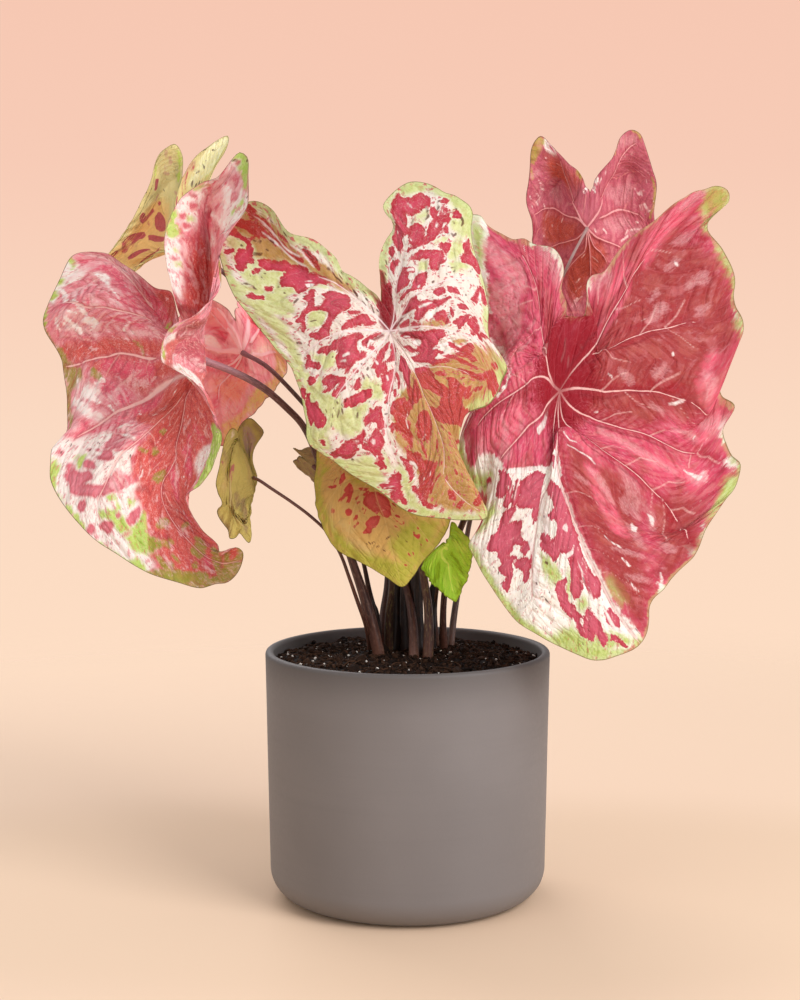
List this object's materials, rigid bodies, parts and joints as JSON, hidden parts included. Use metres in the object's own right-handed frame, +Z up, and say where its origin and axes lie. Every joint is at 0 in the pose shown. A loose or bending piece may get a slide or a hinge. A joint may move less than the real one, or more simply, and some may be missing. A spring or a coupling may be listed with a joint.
{
  "type": "caladium in a pot",
  "caption": "Potted caladium: shield-shaped, ruffled pink, white and green leaf blades on slender stalks that rise from soil in a round grey planter.",
  "frame": {"origin": "centre of the pot's flat base, on the surface it stands on", "axes": "+Z up along the pot's axis; -Y towards the side from which the leaves show best, +X to the right as seen from there"},
  "size_m": [0.3669, 0.1656, 0.4058],
  "materials": {
    "pot": "matt warm grey",
    "soil": "rough dark crumbs",
    "tuber": "rough brown",
    "petiole": "satin brown-maroon",
    "blade_right_front": "satin leaf",
    "blade_centre": "satin leaf",
    "blade_left_front": "satin leaf",
    "blade_left_mid_back": "satin leaf",
    "blade_left_back": "satin leaf",
    "blade_right_back": "satin leaf",
    "blade_small_hanging": "satin leaf",
    "blade_lower_front": "satin leaf",
    "blade_small_green": "satin leaf",
    "blade_small_furled": "satin leaf"
  },
  "bodies": {
    "root": {"pot": "pot", "soil": "soil", "tuber": "tuber", "blade_right_front": "blade_right_front", "petiole_right_front": "petiole", "blade_centre": "blade_centre", "petiole_centre": "petiole", "blade_left_front": "blade_left_front", "petiole_left_front": "petiole", "blade_left_mid_back": "blade_left_mid_back", "petiole_left_mid_back": "petiole", "blade_left_back": "blade_left_back", "petiole_left_back": "petiole", "blade_right_back": "blade_right_back", "petiole_right_back": "petiole", "blade_small_hanging": "blade_small_hanging", "petiole_small_hanging": "petiole", "blade_lower_front": "blade_lower_front", "petiole_lower_front": "petiole", "blade_small_green": "blade_small_green", "petiole_small_green": "petiole", "blade_small_furled": "blade_small_furled", "petiole_small_furled": "petiole"}
  },
  "joints": []
}
